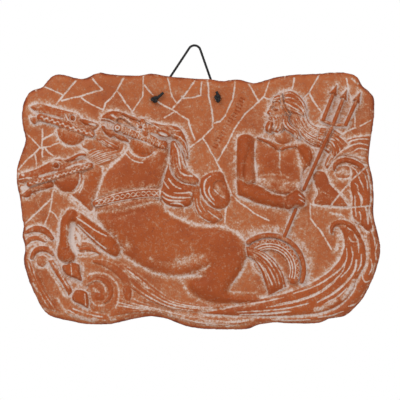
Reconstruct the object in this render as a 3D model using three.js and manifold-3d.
// A hanging terracotta relief plaque: a sea god with a trident drives a chariot drawn by three horses
// through waves. It is one moulded slab with an uneven broken-looking outline, hung by one thin cord
// that is knotted through two holes.
//
// The slab is drawn in its own plane, in millimetres about its middle: u runs to the right, v runs up,
// and heights stand on the flat back. In the part's frame +X is u, +Z is v and -Y is the way the relief
// faces. The origin is where the cord bears on its nail.
import * as THREE from "three";
import { ConvexHull } from "three/addons/math/ConvexHull.js";
import { mergeVertices } from "three/addons/utils/BufferGeometryUtils.js";
import Module from "manifold-3d";

const slab = {
  width: 300,
  height: 213,
  ground: 12, // thickness at the flat background
  rim: 6.5, // height at which the rounded edge ends
  roll: 7, // width of the rounded edge
  draft: 0.75, // slope of the sides of what is raised, so that the clay leaves its mould
  backInset: 1.5, // the back is a little smaller than the outline
  backBevel: 2.5,
  rimPitch: 5.2, // spacing of the points on the outline
};
const mesh = {
  cell: 0.8, // raster on which the heights are worked out
  points: 3950, // points of the relief's surface, which cost two triangles each
  coarse: 11, // spacing of the first points
  clearance: 1.6, // least distance of a point from the outline
  spacing: 1.5, // and from the corners of the facet that it divides
  growth: 1.12, // points are added in rounds, this much more each time
};
const cord = {
  radius: 1,
  gap: 0.3,
  sides: 8,
  steps: 48,
  bend: 4, // radius of its turn at a hole
  slack: 0.5, // how far it lies off the hole's middle
  nailBend: 5.1, // radius of its middle line over the nail
  nail: [-3.4, 127.1], // where its underside bears on the nail
};
const hole = { radius: 2.5, sides: 10, places: [[-36, 83], [15.7, 84]] };

const clay = new THREE.MeshStandardMaterial({ color: 0xb4623c, roughness: 0.7, metalness: 0 });
const blackCord = new THREE.MeshStandardMaterial({ color: 0x15151a, roughness: 0.6, metalness: 0 });

// ---- curves ----

// A smooth line through points [u, v] or [u, v, half width], as an array of samples about `pitch`
// apart.
function smooth(points, { closed = false, pitch = 1.5 } = {}) {
  const corners = points.map(([u, v, w = 0]) => new THREE.Vector3(u, v, w));
  const curve = new THREE.CatmullRomCurve3(corners, closed, "catmullrom", 0.5);
  const count = Math.max(4, Math.ceil(curve.getLength() / pitch));
  const samples = curve.getPoints(count).map((p) => [p.x, p.y, p.z]);
  if (closed) samples.pop();
  return samples;
}

// Points on an arc about `centre`, from one angle to another in degrees, with an even change of radius.
function arc(centre, [fromRadius, toRadius], [fromDegrees, toDegrees], count = 9) {
  return Array.from({ length: count }, (_, i) => {
    const t = i / (count - 1);
    const angle = THREE.MathUtils.degToRad(THREE.MathUtils.lerp(fromDegrees, toDegrees, t));
    const radius = THREE.MathUtils.lerp(fromRadius, toRadius, t);
    return [centre[0] + radius * Math.cos(angle), centre[1] + radius * Math.sin(angle)];
  });
}

const withWidth = (points, halfWidth) => points.map(([u, v]) => [u, v, halfWidth]);

// ---- the outline of the slab ----

const outlinePoints = [
  [-145.6, 68], [-144.6, 79], [-141, 87], [-137, 90.7], [-130, 93], [-126.4, 96], [-121.5, 101.8],
    [-115, 103.9],
  [-107, 102.6], [-99, 100.6], [-92, 101.2], [-86, 104.2], [-80, 105.6], [-73, 104.2], [-57, 102.9],
    [-47, 103.3],
  [-38, 104.6], [-25, 102.4], [-4, 100.6], [10, 99.9], [20, 98.6], [32, 99.9], [42, 97.4], [48, 97.2],
    [57, 99.8],
  [66, 102.2], [80, 103.8], [98, 104.6], [112, 105.7], [122, 105.2], [130.5, 102], [135, 94.5], [141, 89.3],
  [144.8, 83], [144.4, 66], [141.2, 45], [140.4, 32], [143.4, 18], [144.4, 2], [144.2, -12], [147.8, -27],
  [149.9, -40], [147.4, -54], [143, -66], [136.5, -79], [129, -88], [121, -95], [108, -97.6], [97, -101.3],
  [76, -101.3], [60, -100.8], [50, -102.4], [40, -105.9], [22, -106.4], [2, -105.6], [-10, -103.6],
    [-20, -100],
  [-29, -96.8], [-41, -95.7], [-52, -97.4], [-62, -99.9], [-74, -102], [-92, -101.9], [-104, -99.8],
    [-119, -96.3],
  [-125.5, -92.6], [-130.3, -86.6], [-134.2, -78.8], [-138.6, -69.5], [-142, -59], [-144.2, -49],
    [-142.9, -39],
  [-145.2, -30], [-142.8, -19.4], [-146.6, -14], [-147, 0], [-149.4, 12], [-150, 22], [-148.6, 31],
    [-145, 41],
  [-142.6, 50], [-144.6, 60],
].reverse();

// ---- the height field ----

// Heights over the slab's plane on a square raster, built up form by form. `rise` is counted from the
// background.
class Relief {
  constructor(cell) {
    this.cell = cell;
    this.columns = Math.ceil(slab.width / cell) + 5;
    this.rows = Math.ceil(slab.height / cell) + 5;
    this.left = -((this.columns - 1) / 2) * cell;
    this.bottom = -((this.rows - 1) / 2) * cell;
    this.heights = new Float32Array(this.columns * this.rows).fill(slab.ground);
  }

  // Calls change(u, v, height) for each raster point in the samples' box and keeps what it returns.
  within(samples, reach, change) {
    const us = samples.map((p) => p[0]);
    const vs = samples.map((p) => p[1]);
    const column = (u) => Math.round((u - this.left) / this.cell);
    const row = (v) => Math.round((v - this.bottom) / this.cell);
    const lastColumn = Math.min(this.columns - 1, column(Math.max(...us) + reach));
    const lastRow = Math.min(this.rows - 1, row(Math.max(...vs) + reach));
    for (let j = Math.max(0, row(Math.min(...vs) - reach)); j <= lastRow; j++)
      for (let i = Math.max(0, column(Math.min(...us) - reach)); i <= lastColumn; i++) {
        const at = j * this.columns + i;
        const u = this.left + i * this.cell;
        const v = this.bottom + j * this.cell;
        this.heights[at] = change(u, v, this.heights[at]);
      }
  }

  // A rounded bar along a line of [u, v, half width]; a higher `round` is flatter on top and steeper at
  // the sides.
  stroke(points, rise, { round = 2, closed = false } = {}) {
    const line = smooth(points, { closed });
    const reach = Math.max(...line.map((p) => p[2]));
    this.within(line, reach, (u, v, height) => {
      const across = Math.min(1, offLine(line, u, v));
      return Math.max(height, slab.ground + rise * (1 - across ** round) ** slab.draft);
    });
  }

  // A closed form with a rounded shoulder and a nearly level top.
  mass(points, rise, shoulder) {
    const outline = smooth(points, { closed: true });
    this.within(outline, 0, (u, v, height) => {
      const slope = 1 - THREE.MathUtils.clamp(insideBy(outline, u, v) / shoulder, 0, 1);
      return Math.max(height, slab.ground + rise * (1 - slope ** 2) ** slab.draft);
    });
  }

  // Adds a soft swelling, or a hollow where `amount` is negative, on what is there.
  swell([u0, v0], [along, across], degrees, amount) {
    const angle = THREE.MathUtils.degToRad(degrees);
    const [cos, sin] = [Math.cos(angle), Math.sin(angle)];
    this.within([[u0, v0]], 2 * Math.max(along, across), (u, v, height) => {
      const a = ((u - u0) * cos + (v - v0) * sin) / along;
      const b = ((v - v0) * cos - (u - u0) * sin) / across;
      return height + amount * Math.exp(-1.5 * (a * a + b * b));
    });
  }

  // Locks of hair or streaks of water that run between two guide lines of as many points each: a
  // swelling that sinks to the ground at both sides and at its tips, with `count` ridges on it.
  locks(guides, count, rise, { ridge = 1.1, tips = [0.08, 0.2] } = {}) {
    const [first, last] = guides.map((points) => {
      const curve = new THREE.CatmullRomCurve3(points.map(([u, v]) => new THREE.Vector3(u, v, 0)));
      return (s) => curve.getPoint(s);
    });
    const reach = Math.max(...guides.map((points) => points.reduce((sum, [u, v], i) => {
      return i ? sum + Math.hypot(u - points[i - 1][0], v - points[i - 1][1]) : 0;
    }, 0)));
    const stepsAlong = Math.ceil((2.2 * reach) / this.cell);
    for (let n = 0; n <= stepsAlong; n++) {
      const s = n / stepsAlong;
      const [from, to] = [first(s), last(s)];
      const stepsAcross = Math.ceil((2.2 * from.distanceTo(to)) / this.cell) + 2;
      const end = Math.min(1, s / tips[0], (1 - s) / tips[1]) ** 0.6;
      for (let m = 0; m <= stepsAcross; m++) {
        const t = m / stepsAcross;
        const side = (1 - (2 * t - 1) ** 4) ** slab.draft;
        const crest = Math.abs(Math.sin(Math.PI * count * t)) ** 0.8;
        const height = slab.ground + end * (side * (rise - ridge) + crest * ridge);
        const u = THREE.MathUtils.lerp(from.x, to.x, t);
        const v = THREE.MathUtils.lerp(from.y, to.y, t);
        const at = Math.round((v - this.bottom) / this.cell) * this.columns
          + Math.round((u - this.left) / this.cell);
        if (height > this.heights[at]) this.heights[at] = height;
      }
    }
  }

  height(u, v) {
    const x = THREE.MathUtils.clamp((u - this.left) / this.cell, 0, this.columns - 1.001);
    const y = THREE.MathUtils.clamp((v - this.bottom) / this.cell, 0, this.rows - 1.001);
    const [i, j] = [Math.floor(x), Math.floor(y)];
    const at = j * this.columns + i;
    const low = THREE.MathUtils.lerp(this.heights[at], this.heights[at + 1], x - i);
    const high = THREE.MathUtils.lerp(
      this.heights[at + this.columns],
      this.heights[at + this.columns + 1],
      x - i,
    );
    return THREE.MathUtils.lerp(low, high, y - j);
  }
}

// How far (u, v) is from a line in half widths of the line there.
function offLine(line, u, v) {
  let best = Infinity;
  for (let i = 1; i < line.length; i++) {
    const [au, av, aw] = line[i - 1];
    const [bu, bv, bw] = line[i];
    const [du, dv] = [bu - au, bv - av];
    const along = ((u - au) * du + (v - av) * dv) / (du * du + dv * dv || 1);
    const t = THREE.MathUtils.clamp(along, 0, 1);
    const away = Math.hypot(u - au - t * du, v - av - t * dv);
    best = Math.min(best, away / (aw + t * (bw - aw)));
  }
  return best;
}

// How deep (u, v) lies inside a closed outline; 0 or less outside it.
function insideBy(outline, u, v) {
  let nearest = Infinity;
  let inside = false;
  outline.forEach(([bu, bv], i) => {
    const [au, av] = outline[(i + outline.length - 1) % outline.length];
    const [du, dv] = [bu - au, bv - av];
    const t = THREE.MathUtils.clamp(((u - au) * du + (v - av) * dv) / (du * du + dv * dv || 1), 0, 1);
    nearest = Math.min(nearest, Math.hypot(u - au - t * du, v - av - t * dv));
    if (av > v !== bv > v && u < au + (du * (v - av)) / dv) inside = !inside;
  });
  return inside ? nearest : -nearest;
}

// ---- the figures, from the furthest to the nearest ----

function seaOnTheRight(relief) {
  relief.locks([
    [[104, 27], [110, 38], [120, 48], [131, 51], [143, 48]],
    [[109, 25], [114, 32], [122, 36], [131, 37.5], [141, 32]],
  ], 4, 1.9);
  // the breaking crest and its fall down the right edge
  relief.stroke([[111, 27, 1.4], [114, 32, 2.6], [122, 33.5, 3], [130, 29, 3.6], [135, 20, 3.6],
    [137, 8, 3]], 3);
  relief.locks([
    [[126, 27], [129, 14], [128, 0], [129, -12], [136, -26]],
    [[140, 24], [143, 10], [143, -6], [143, -18], [147, -32]],
  ], 4, 2.2);
  relief.swell([118, 22], [7, 7], 0, -1.2);
  relief.locks([
    [[137, -16], [140, -30], [141, -44], [137, -58], [131, -70]],
    [[148, -28], [149, -40], [147, -54], [142, -66], [134, -80]],
  ], 2, 1.8);
  // the lower curl, which runs on as the swell along the bottom
  relief.locks([
    [
      [114, -17], [130, -19], [138.5, -34], [138.5, -50], [131, -66], [118, -80], [99, -90], [78, -95],
      [52, -97],
    ],
    [
      [114, -22], [120, -26], [120, -40], [113, -52], [103, -61], [93, -69], [81, -75], [70, -80],
      [50, -84],
    ],
  ], 6, 2.8);
  relief.stroke([[109.5, -25, 1], [111, -20.5, 2], [117, -19, 2.6], [124, -21.5, 3]], 3.4);
}

function swellAlongTheBottom(relief) {
  relief.locks([
    [[-64, -56], [-47, -67], [-32, -76], [-15, -85], [5, -88], [30, -86], [56, -82], [76, -79]],
    [[-78, -93], [-58, -93], [-38, -90], [-18, -95], [3, -101], [30, -102], [54, -98], [76, -96]],
  ], 5, 1.6);
}

function seaOnTheLeft(relief) {
  // a wave that curls over beside the hoofs
  relief.stroke(withWidth(arc([-82, -75], [18, 13], [150, -50], 9), 3.4), 2.3);
  relief.stroke(withWidth(arc([-82, -75.5], [9.5, 3.5], [130, -290], 13), 1.9), 2.6);
  relief.stroke([[-93, -52, 2], [-80, -52, 4], [-66, -60, 4.5], [-58, -72, 4.5], [-54, -84, 3]], 1.8);
  // the far curl at the left edge
  relief.stroke([[-142, -42, 2], [-142, -32, 3.4], [-135, -26, 3.6], [-126, -26.5, 3.4],
    [-119.5, -34, 2.4]], 2.6);
  relief.stroke([[-138, -55, 2.5], [-135.5, -46, 3], [-128.5, -41.5, 3], [-121, -43.5, 2]], 2.6);
  relief.locks([
    [[-142, -46], [-139, -58], [-134, -70], [-129, -80], [-122, -91]],
    [[-127, -57], [-124, -65], [-119, -74], [-113, -84], [-106, -95]],
  ], 4, 1.8);
  relief.stroke([[-123, -49, 3.2], [-117, -58, 3.4], [-110.5, -68, 3.6], [-105, -77, 3]], 3.2);
}

function lowerHorse(relief) {
  relief.mass(
    [[-96, 39], [-85, 34], [-76, 24], [-79, 12], [-84, -2], [-88, -9], [-98, 0], [-105, 7], [-99, 16],
      [-97, 28]],
    2.6, 7);
  relief.mass(arc([-108, 19], [12.8, 12.8], [0, 340], 18), 3, 5);
  relief.stroke(
    [[-146.5, 18, 3], [-140, 20, 4.4], [-130, 23.5, 5.6], [-117, 28.5, 7], [-104, 32, 6.6],
      [-94, 33.5, 5]], 3.6);
  relief.stroke([[-143, 4, 1.5], [-137.5, 7.5, 2.4], [-128, 11.5, 3.4], [-117, 15.5, 4]], 2.8);
  relief.stroke([[-108, 33, 1.2], [-100, 36.5, 2.4], [-93, 38, 1.5]], 4.6);
  relief.stroke(withWidth([[-141, 15.5], [-125, 18.5], [-108, 24], [-90, 29.5]], 1.9), 4.1, { round: 6 });
  relief.mass(arc([-117.5, 28.8], [2.7, 2.7], [0, 330], 12), 5, 2.4);
  relief.locks([
    [[-93, 39], [-84, 43], [-75, 45], [-66, 44]],
    [[-88, 30], [-80, 29], [-72, 33], [-63, 39]],
  ], 5, 2.9);
}

function farHorse(relief) {
  relief.mass([[-93, 55], [-80, 58], [-62, 49], [-60, 41], [-72, 42], [-88, 44], [-98, 47]], 1.6, 5);
  relief.mass(arc([-104, 57], [12.6, 12.6], [0, 340], 18), 2.6, 4);
  relief.stroke(
    [[-137, 76.5, 1.8], [-131, 74.2, 3.6], [-120, 70, 5.4], [-106, 66, 7.2], [-95, 62, 5.8],
      [-84, 60, 3.6]], 3.4);
  relief.stroke([[-136.5, 66, 2.6], [-130.5, 66.5, 3], [-122, 64.8, 3], [-111, 62, 4]], 2.8);
  relief.stroke([[-98, 65.5, 1.2], [-90, 64, 2.2], [-83, 61.6, 1.4]], 4.4);
  relief.stroke(withWidth([[-130, 67.5], [-117, 63.5], [-101, 58.5], [-85, 54.5]], 1.9), 4, { round: 6 });
  relief.mass(arc([-103.5, 67.6], [2.6, 2.6], [0, 330], 12), 4.8, 2.3);
  relief.locks([
    [[-81, 52], [-74, 50], [-65, 46]],
    [[-84, 44], [-74, 40], [-64, 38]],
  ], 4, 2.6);
}

function nearHorseBody(relief) {
  // neck and chest
  relief.mass(
    [[-57, 42], [-67, 34], [-77, 24], [-83, 11], [-86, -3], [-85, -14], [-72, -27], [-45, -20],
      [-28, -6], [-32, 7],
      [-29, 18], [-25, 30], [-24, 46], [-34, 52], [-46, 50]], 4.2, 9);
  // barrel, belly and croup
  relief.mass(
    [[-85, -13], [-60, -4], [-33, -1.5], [-24, -9.5], [-12, -17], [0, -21], [20, -22], [30, -26.5],
      [38, -33],
      [41.5, -40], [39.5, -50], [34, -62], [27, -71], [14, -76], [4, -66], [-5, -62], [-20, -63],
        [-36, -60],
      [-50, -52], [-62, -44], [-74, -34]], 5.2, 12);
  relief.swell([-6, -52], [20, 6], 18, -1.4);
  relief.swell([-58, -36], [6, 8], 0, -1.3);
  // the hind leg, drawn forward under the belly
  relief.mass(
    [[10, -50], [20, -40], [33, -37], [40.5, -43], [38, -53], [32, -65], [26, -72], [38, -79],
      [44, -84], [20, -85],
      [3, -80.5], [-6, -76], [-9.5, -68.5], [-4, -62], [4, -58]], 6.1, 8);
}

function forelegs(relief) {
  relief.stroke([[-66, -38, 8], [-76, -33.5, 9], [-88, -24.5, 7.8], [-98, -16.5, 6.6],
    [-105, -12.5, 6]], 6.4);
  relief.stroke([[-105.5, -12.5, 6], [-108.5, -20, 5], [-109.5, -30, 4.8], [-109.7, -38, 5.4],
    [-109, -44, 7.8]], 6);
  relief.mass([[-112, -51], [-104, -50], [-98, -52.5], [-97, -59], [-95, -66.5], [-103, -63.5],
    [-111.5, -60]], 5.2, 2.5);
  relief.mass(
    [[-104.8, -78.5], [-102, -74.5], [-97.5, -73], [-92, -74.8], [-90, -80], [-90, -89], [-97, -85.8],
      [-104.2, -82.8]],
    5, 2.5);
}

function nearHorseHead(relief) {
  relief.mass(arc([-45, 48.3], [13, 13], [0, 340], 18), 5, 6);
  relief.stroke(
    [[-77.5, 67.3, 4], [-71, 67.8, 5.5], [-60, 63.6, 7.2], [-47, 59.6, 7.7], [-36, 56.6, 6.8],
      [-26, 54, 5.4]], 5.8);
  relief.stroke([[-77.3, 58, 2.7], [-71.5, 55.3, 3.6], [-63, 52.6, 4.2], [-53, 50, 5]], 5);
  relief.stroke([[-37, 56, 1.6], [-30.5, 55.6, 3.4], [-23.5, 52.6, 1.8]], 7);
  relief.stroke([[-35, 55.6, 0.7], [-30.5, 55.4, 1.5], [-26, 53.6, 0.7]], 5.4);
  relief.stroke(withWidth([[-67, 58.8], [-56, 55.3], [-42, 51], [-26, 46.5]], 2.6), 6.4, { round: 6 });
  relief.mass(arc([-67, 59], [3.3, 3.3], [0, 330], 12), 6.6, 1.5);
  relief.mass(arc([-46, 61.2], [2.8, 2.8], [0, 330], 12), 7.2, 2.4);
}

function mane(relief) {
  relief.locks([
    [[-33, 62.5], [-22, 61.5], [-13, 57], [-8.5, 46], [-8, 37]],
    [[-25, 55], [-20, 52], [-15, 46], [-11, 39], [-9, 31]],
  ], 3, 5);
  relief.locks([
    [[-20, 52], [-13, 44], [-9.5, 33], [-7.5, 23.5], [1, 18.5]],
    [[-24, 46], [-24, 31], [-21, 20], [-13, 13.5], [-1, 12.5]],
  ], 4, 4.4);
  relief.locks([
    [[-29, 22], [-24, 12.5], [-16, 8.5], [-5, 9]],
    [[-32, 3], [-27, -2], [-18, -4.5], [-6, -4]],
  ], 4, 3.6);
  relief.locks([
    [[18, 25], [8, 23], [1.5, 14], [-2, 2], [-1, -8], [6, -15.5], [19, -18]],
    [[20, 19], [13.5, 17], [11, 10], [11.5, 3], [14, -2], [18, -6], [23, -8]],
  ], 4, 3.4);
}

const wheel = { centre: [58, -57], rim: 28.2, rimWidth: 1.9, band: 23.9, bandWidth: 2, ribs: [20.4, 18.6,
  16.8] };

function chariot(relief) {
  const bow = (radius) => arc(wheel.centre, [radius, radius], [-22, 128], 16);
  relief.stroke(withWidth(bow(wheel.rim), wheel.rimWidth), 4.2, { round: 4 });
  relief.stroke(withWidth(bow(wheel.band), wheel.bandWidth), 3.2, { round: 8 });
  wheel.ribs.forEach((radius) => relief.stroke(withWidth(bow(radius), 0.85), 3));
}

function tail(relief) {
  relief.locks([
    [[39, -36], [50, -41.5], [60, -48.5], [67, -59], [71.5, -73]],
    [[40, -46], [46, -49], [51, -57], [53.5, -67], [55.5, -77]],
  ], 5, 4.8);
}

function godsBody(relief) {
  relief.mass([[93, 20], [99, 23.5], [104, 20], [107, 12], [113, 5], [117, -1], [104, -4],
    [92, -2.5]], 2, 5);
  relief.mass(
    [[44, 52], [53, 50.5], [60, 50], [66, 50], [74, 47], [82, 47.5], [90, 46], [95.5, 39], [95, 29],
      [89.5, 24],
      [86, 14], [86, 6], [70, 3], [50, 8], [44, 16], [44, 35]], 3, 5);
  relief.mass([[48.5, 45], [57, 42], [65, 39.5], [66.2, 30], [65, 23.5], [59, 21.5], [51, 22.5],
    [48, 30]], 4.6, 7);
  relief.mass([[68, 40], [75, 42.5], [80, 39], [82.5, 31], [80, 20.5], [74, 19], [68.5, 23],
    [67.8, 31]], 4.6, 7);
  relief.mass([[80, 45], [87, 46.5], [93.5, 43], [95.3, 34], [91.5, 27.5], [86, 32], [82, 38]], 5.2, 6);
  relief.stroke([[47, 51.5, 1.3], [57, 47.5, 1.6], [65, 41.8, 1.1]], 4.6);
  relief.stroke([[68, 41.2, 1.1], [75, 44, 1.5], [81, 43.4, 1.1]], 4.6);
  relief.swell([63, 13], [7, 4], 20, 0.9);
  relief.swell([75, 13], [6, 4], -20, 0.9);
  // upper arm, forearm and the hand that holds the shaft
  relief.stroke([[39, 46.8, 8.2], [37.6, 38, 8.4], [36.6, 26, 7.2], [36.8, 14, 7], [39.5, 6.5, 7.6]], 6.6);
  relief.stroke([[39, 6.5, 7.4], [50, 4.2, 7], [62, 0.2, 6.1], [73, -1.4, 5.4]], 6.4);
  relief.mass([[70, 4], [76, 6.5], [82, 9.3], [86.5, 8], [89.5, 2], [88, -4.3], [82, -5], [76, -6.8],
    [71, -5.5]], 7, 4);
}

function godsHead(relief) {
  relief.stroke([[66, 60, 7], [66, 49, 6.5]], 4);
  // long hair blown back behind the shaft
  relief.locks([
    [[76, 74], [86, 70], [91, 62.5], [100, 59.5], [110, 59], [121, 51]],
    [[64, 64], [70, 56], [78, 52], [88, 46], [100, 43], [108, 34]],
  ], 8, 4.2);
  // face and beard
  relief.mass(
    [[66, 87.5], [60.5, 85.5], [57.4, 81.5], [56.4, 78], [54.8, 75], [52.4, 71.4], [54.4, 70], [53.6, 67.8],
      [54.2, 66], [52.6, 62.5], [53.2, 58.5], [57, 55.5], [63, 55], [70, 60], [74, 72], [72, 84]], 5, 4);
  relief.locks([
    [[57, 66], [55, 62], [55, 57.5], [59, 54.5]],
    [[70, 70], [68, 62], [69, 57], [76, 53]],
  ], 5, 5.8);
  relief.stroke([[58, 79.6, 0.9], [62, 80.6, 1.3], [67, 79, 0.9]], 6.2);
  relief.mass([[60, 76.5], [63, 78.2], [66.6, 76.2], [63, 74.8]], 5.9, 1.4);
  // hair over the crown
  relief.mass([[69, 86], [75, 89.5], [81, 87.5], [86.5, 81], [87.5, 74], [80, 71], [73, 73.5],
    [70, 79]], 6, 5);
  relief.locks([
    [[69, 88], [77, 90], [84, 85], [88.5, 76]],
    [[69.5, 74], [74, 72], [80, 71], [87, 70]],
  ], 5, 6.4);
}

const trident = { foot: [70.4, -29.6], fist: [79.6, -8], palm: [86.4, 8.6], fork: [110.2, 62.6],
  halfWidth: 1.35 };

function spear(relief) {
  const bar = (points, rise) => relief.stroke(withWidth(points, trident.halfWidth), rise, { round: 4 });
  bar([trident.foot, trident.fist], 3.4);
  bar([trident.palm, trident.fork], 5.6);
  bar([[101.4, 65.8], trident.fork, [121, 61.8]], 4.6);
  const prongs = [
    { root: [102, 66], tip: [113.6, 95] },
    { root: trident.fork, tip: [122, 91.4] },
    { root: [121, 62.4], tip: [133, 89.4] },
  ];
  const head = { length: 8.6, halfWidth: 3.6 };
  for (const { root, tip } of prongs) {
    const along = new THREE.Vector2(tip[0] - root[0], tip[1] - root[1]).normalize();
    const neck = [tip[0] - along.x * head.length, tip[1] - along.y * head.length];
    bar([root, neck], 4.6);
    const side = (sign) => [neck[0] - sign * along.y * head.halfWidth,
      neck[1] + sign * along.x * head.halfWidth];
    relief.stroke([[...neck, head.halfWidth], [...tip, 0.4]], 4.8, { round: 3 });
    relief.stroke([[...side(1), 0.8], [...neck, 1.6], [...side(-1), 0.8]], 4.4);
  }
}

// The rounded edge: every height sinks towards the rim as it nears the outline.
function roundTheEdge(relief, outline) {
  const corners = [[relief.left, relief.bottom], [-relief.left, -relief.bottom]];
  relief.within(corners, 0, (u, v, height) => {
    const depth = insideBy(outline, u, v);
    const slope = 1 - THREE.MathUtils.clamp(depth / slab.roll, 0, 1);
    return slab.rim + (height - slab.rim) * Math.sqrt(1 - slope ** 2);
  });
}

function carve(outline) {
  const relief = new Relief(mesh.cell);
  const figures = [
    seaOnTheRight, swellAlongTheBottom, seaOnTheLeft, farHorse, lowerHorse, nearHorseBody, forelegs,
      nearHorseHead,
    mane, chariot, tail, godsBody, godsHead, spear,
  ];
  figures.forEach((figure) => figure(relief));
  roundTheEdge(relief, outline);
  return relief;
}

// ---- from the height field to a closed solid ----

// Delaunay triangles of flat points: the underside of the convex hull of the points lifted onto a
// paraboloid.
function delaunay(points) {
  const lifted = points.map(([u, v]) => new THREE.Vector3(u, v, u * u + v * v));
  const index = new Map(lifted.map((p, i) => [p, i]));
  const triangles = [];
  for (const face of new ConvexHull().setFromPoints(lifted).faces) {
    if (face.normal.z >= 0) continue;
    const { edge } = face;
    // seen from above
    triangles.push([edge.next.next, edge.next, edge].map((e) => index.get(e.head().point)));
  }
  return triangles;
}

const keepsInside = (rings, [u, v], clearance) =>
  insideBy(rings.outline, u, v) > clearance && rings.holes.every((ring) => insideBy(ring, u,
    v) < -0.6 * clearance);

// The triangles that lie on the slab: inside the outline and outside the holes.
function onTheSlab(points, rings) {
  return delaunay(points).filter((triangle) => {
    const middle = [0, 1].map((k) => triangle.reduce((sum, i) => sum + points[i][k] / 3, 0));
    return keepsInside(rings, middle, 0);
  });
}

// The raster point under a facet that is furthest from the relief, and how much the facet would gain
// from it.
function worstPoint(relief, [a, b, c]) {
  const { cell, left, bottom, columns } = relief;
  const area = (b[0] - a[0]) * (c[1] - a[1]) - (c[0] - a[0]) * (b[1] - a[1]);
  let worst = { gain: 0 };
  const range = (k, low) => [
    Math.ceil((Math.min(a[k], b[k], c[k]) - low) / cell),
    Math.floor((Math.max(a[k], b[k], c[k]) - low) / cell),
  ];
  const [firstRow, lastRow] = range(1, bottom);
  const [firstColumn, lastColumn] = range(0, left);
  for (let j = firstRow; j <= lastRow; j++)
    for (let i = firstColumn; i <= lastColumn; i++) {
      const [u, v] = [left + i * cell, bottom + j * cell];
      const s = ((u - a[0]) * (c[1] - a[1]) - (c[0] - a[0]) * (v - a[1])) / area;
      const t = ((b[0] - a[0]) * (v - a[1]) - (u - a[0]) * (b[1] - a[1])) / area;
      if (s < 0 || t < 0 || s + t > 1) continue;
      const facet = a[2] + s * (b[2] - a[2]) + t * (c[2] - a[2]);
      const gain = Math.abs(relief.heights[j * columns + i] - facet) * Math.sqrt(Math.abs(area));
      if (gain <= worst.gain) continue;
      const nearest = Math.min(...[a, b, c].map((corner) => Math.hypot(u - corner[0], v - corner[1])));
      if (nearest > mesh.spacing) worst = { gain, place: [u, v] };
    }
  return worst;
}

// Surface points, added in rounds where the facets miss the relief most.
function surfacePoints(relief, rings) {
  const lift = ([u, v]) => [u, v, relief.height(u, v)];
  const points = [...rings.outline.map(([u, v]) => [u, v, slab.rim]), ...rings.holes.flat().map(lift)];
  for (let u = relief.left; u < -relief.left; u += mesh.coarse)
    for (let v = relief.bottom; v < -relief.bottom; v += mesh.coarse) {
      // off the square, so that no four points share a circle
      const shifted = [u + 0.01 * v, v + 0.013 * u];
      if (keepsInside(rings, shifted, mesh.clearance)) points.push(lift(shifted));
    }
  while (points.length < mesh.points) {
    const room = Math.min(mesh.points, Math.ceil(points.length * mesh.growth)) - points.length;
    const worst = onTheSlab(points, rings)
      .map((triangle) => worstPoint(relief, triangle.map((i) => points[i])))
      .filter(({ place }) => place && keepsInside(rings, place, mesh.clearance))
      .sort((a, b) => b.gain - a.gain)
      .slice(0, room);
    if (!worst.length) break;
    worst.forEach(({ place: [u, v] }, n) => {
      points.push(lift([u + 0.05 * Math.sin(7 * n + u), v + 0.05 * Math.cos(5 * n + v)]));
    });
  }
  return points;
}

function insetRing(ring, distance) {
  return ring.map(([u, v], i) => {
    const [au, av] = ring[(i + ring.length - 1) % ring.length];
    const [bu, bv] = ring[(i + 1) % ring.length];
    const length = Math.hypot(bu - au, bv - av);
    return [u - (distance * (bv - av)) / length, v + (distance * (bu - au)) / length];
  });
}

// The slab's outline and holes as rings of points, each running anticlockwise.
function slabRings() {
  const outline = smooth(outlinePoints, { closed: true, pitch: slab.rimPitch }).map(([u, v]) => [u, v]);
  const turn = 360 / hole.sides;
  const holes = hole.places.map((place) => arc(place, [hole.radius, hole.radius],
    [7, 7 + 360 - turn], hole.sides));
  return { outline, holes };
}

function slabGeometry() {
  const rings = slabRings();
  const relief = carve(rings.outline);
  const points = surfacePoints(relief, rings);
  const positions = [];
  const put = (...corners) => corners.forEach((corner) => positions.push(...corner));
  for (const triangle of onTheSlab(points, rings)) put(...triangle.map((i) => points[i]));

  // a wall of two triangles for each step between two rings of points
  const wall = (upper, lower) =>
    upper.forEach((corner, i) => {
      const next = (i + 1) % upper.length;
      put(corner, lower[i], lower[next]);
      put(corner, lower[next], upper[next]);
    });
  const at = (ring, height) => ring.map(([u, v]) => [u, v, height]);
  const edge = points.slice(0, rings.outline.length);
  const back = insetRing(rings.outline, slab.backInset);
  wall(edge, at(rings.outline, slab.backBevel));
  wall(at(rings.outline, slab.backBevel), at(back, 0));
  rings.holes.forEach((ring, n) => {
    const first = rings.outline.length + n * hole.sides;
    wall(points.slice(first, first + hole.sides).reverse(), at(ring, 0).reverse());
  });

  const flat = (ring) => ring.map(([u, v]) => new THREE.Vector2(u, v));
  const holes = rings.holes.map((ring) => flat(ring));
  const corners = [back, ...rings.holes].flat().map(([u, v]) => [u, v, 0]);
  for (const [a, b, c] of THREE.ShapeUtils.triangulateShape(flat(back), holes)) {
    const [p, q, r] = [corners[a], corners[b], corners[c]];
    const turnsLeft = (q[0] - p[0]) * (r[1] - p[1]) - (r[0] - p[0]) * (q[1] - p[1]) > 0;
    put(...(turnsLeft ? [p, r, q] : [p, q, r]));
  }
  return new THREE.BufferGeometry().setAttribute("position", new THREE.Float32BufferAttribute(positions,
    3));
}

// ---- the cord ----

// Points [u, v, height] of the cord's middle line from one hole's mouth to where it leaves for the
// nail.
function throughHole([u, v], [towardU, towardV]) {
  const behind = -(cord.radius + cord.gap);
  const start = [u - cord.slack * towardU, v - cord.slack * towardV];
  const path = [slab.ground, slab.ground * 0.6, slab.ground * 0.4].map((height) => [...start, height]);
  for (let i = 0; i <= 6; i++) {
    const angle = (i / 6) * (Math.PI / 2);
    const out = cord.bend * (1 - Math.cos(angle));
    path.push([start[0] + out * towardU, start[1] + out * towardV,
      behind + cord.bend * (1 - Math.sin(angle))]);
  }
  return path;
}

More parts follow.
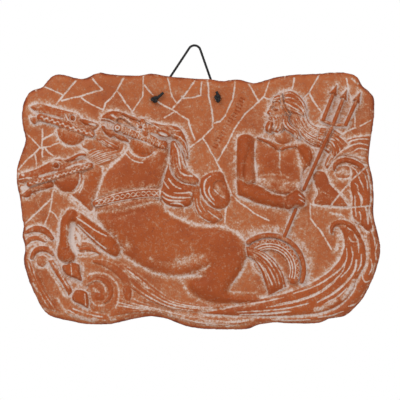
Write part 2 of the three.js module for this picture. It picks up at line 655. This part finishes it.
// The cord's middle line from one knot, over the nail, to the other knot.
function cordPath() {
  const behind = -(cord.radius + cord.gap);
  const middle = [cord.nail[0], cord.nail[1] + cord.radius - cord.nailBend];
  const sides = hole.places.map(([u, v], n) => {
    // the straight run touches the bend over the nail: on its left from the left hole, on its right
    // from the right
    const sign = n === 0 ? 1 : -1;
    const distance = Math.hypot(middle[0] - u, middle[1] - v);
    const heading = Math.atan2(middle[1] - v, middle[0] - u) + sign * Math.asin(cord.nailBend / distance);
    const toward = [Math.cos(heading), Math.sin(heading)];
    return { toward, touch: heading + (sign * Math.PI) / 2, path: throughHole([u, v], toward) };
  });
  const [left, right] = sides;
  const run = ({ path, touch }) => {
    const from = path.at(-1);
    const to = [
      middle[0] + cord.nailBend * Math.cos(touch),
      middle[1] + cord.nailBend * Math.sin(touch),
      behind,
    ];
    const between = [0.25, 0.5, 0.75].map((t) => from.map((x, k) => THREE.MathUtils.lerp(x, to[k], t)));
    return [...path, ...between];
  };
  const over = arc(
    middle,
    [cord.nailBend, cord.nailBend],
    [THREE.MathUtils.radToDeg(left.touch), THREE.MathUtils.radToDeg(right.touch)],
    9,
  ).map(([u, v]) => [u, v, behind]);
  return [...run(left), ...over, ...run(right).reverse()];
}

function cordGeometry() {
  const path = new THREE.CatmullRomCurve3(cordPath().map((p) => new THREE.Vector3(...p)));
  const section = new THREE.Shape(
    Array.from({ length: cord.sides }, (_, i) => {
      const angle = (2 * Math.PI * i) / cord.sides;
      return new THREE.Vector2(cord.radius * Math.cos(angle), cord.radius * Math.sin(angle));
    }),
  );
  return new THREE.ExtrudeGeometry(section, { extrudePath: path, steps: cord.steps, bevelEnabled: false });
}

// ---- the knots ----

const wasm = await Module();
wasm.setup();

function toSolid(geometry) {
  const bare = geometry.clone().deleteAttribute("normal").deleteAttribute("uv");
  const merged = mergeVertices(bare, 1e-4);
  return new wasm.Manifold(
    new wasm.Mesh({
      numProp: 3,
      vertProperties: new Float32Array(merged.attributes.position.array),
      triVerts: new Uint32Array(merged.index.array),
    }),
  );
}

function toGeometry(solid) {
  const { vertProperties, triVerts } = solid.getMesh();
  return new THREE.BufferGeometry()
    .setAttribute("position", new THREE.BufferAttribute(vertProperties, 3))
    .setIndex(new THREE.BufferAttribute(triVerts, 1));
}

// A pulled-tight overhand knot: a squat ball with the cord's end standing out of it. Its foot is at
// height 0.
function knotGeometry({ width, length, height, lean, end }) {
  const profile = [[0, 0], [0.62, 0], [0.93, 0.22], [1, 0.5], [0.86, 0.8], [0.5, 0.97], [0, 1]];
  const ball = new THREE.LatheGeometry(profile.map(([r, y]) => new THREE.Vector2(r, y)), 12)
    .rotateX(Math.PI / 2)
    .scale(width / 2, length / 2, height)
    .rotateZ(THREE.MathUtils.degToRad(lean));
  const reach = Math.hypot(...end);
  const tailEnd = new THREE.CylinderGeometry(cord.radius, cord.radius, reach, cord.sides)
    .translate(0, reach / 2, 0)
    .rotateZ(Math.atan2(end[1], end[0]) - Math.PI / 2)
    .translate(0, 0, height * 0.45);
  return toGeometry(toSolid(ball).add(toSolid(tailEnd)));
}

const knots = [
  { name: "knot_left", width: 6.6, length: 6.2, height: 4.6, lean: 20, end: [7.2, 5.6] },
  { name: "knot_right", width: 5.4, length: 7.4, height: 4.6, lean: 10, end: [-1, 5.6] },
];

// ---- the part ----

const part = new THREE.Group();
part.rotation.x = Math.PI / 2; // stands the drawing plane up, with its heights towards -Y
part.position.set(-cord.nail[0], -(cord.radius + cord.gap), -cord.nail[1]);

function addNode(name, geometry, material) {
  const node = new THREE.Mesh(geometry, material);
  node.name = name;
  part.add(node);
  return node;
}

addNode("relief_slab", slabGeometry(), clay);
addNode("hanging_cord", cordGeometry(), blackCord);
knots.forEach((knot, n) => {
  const node = addNode(knot.name, knotGeometry(knot), blackCord);
  node.position.set(...hole.places[n], slab.ground + cord.gap);
});

const root = new THREE.Group();
root.add(part);
export default root;
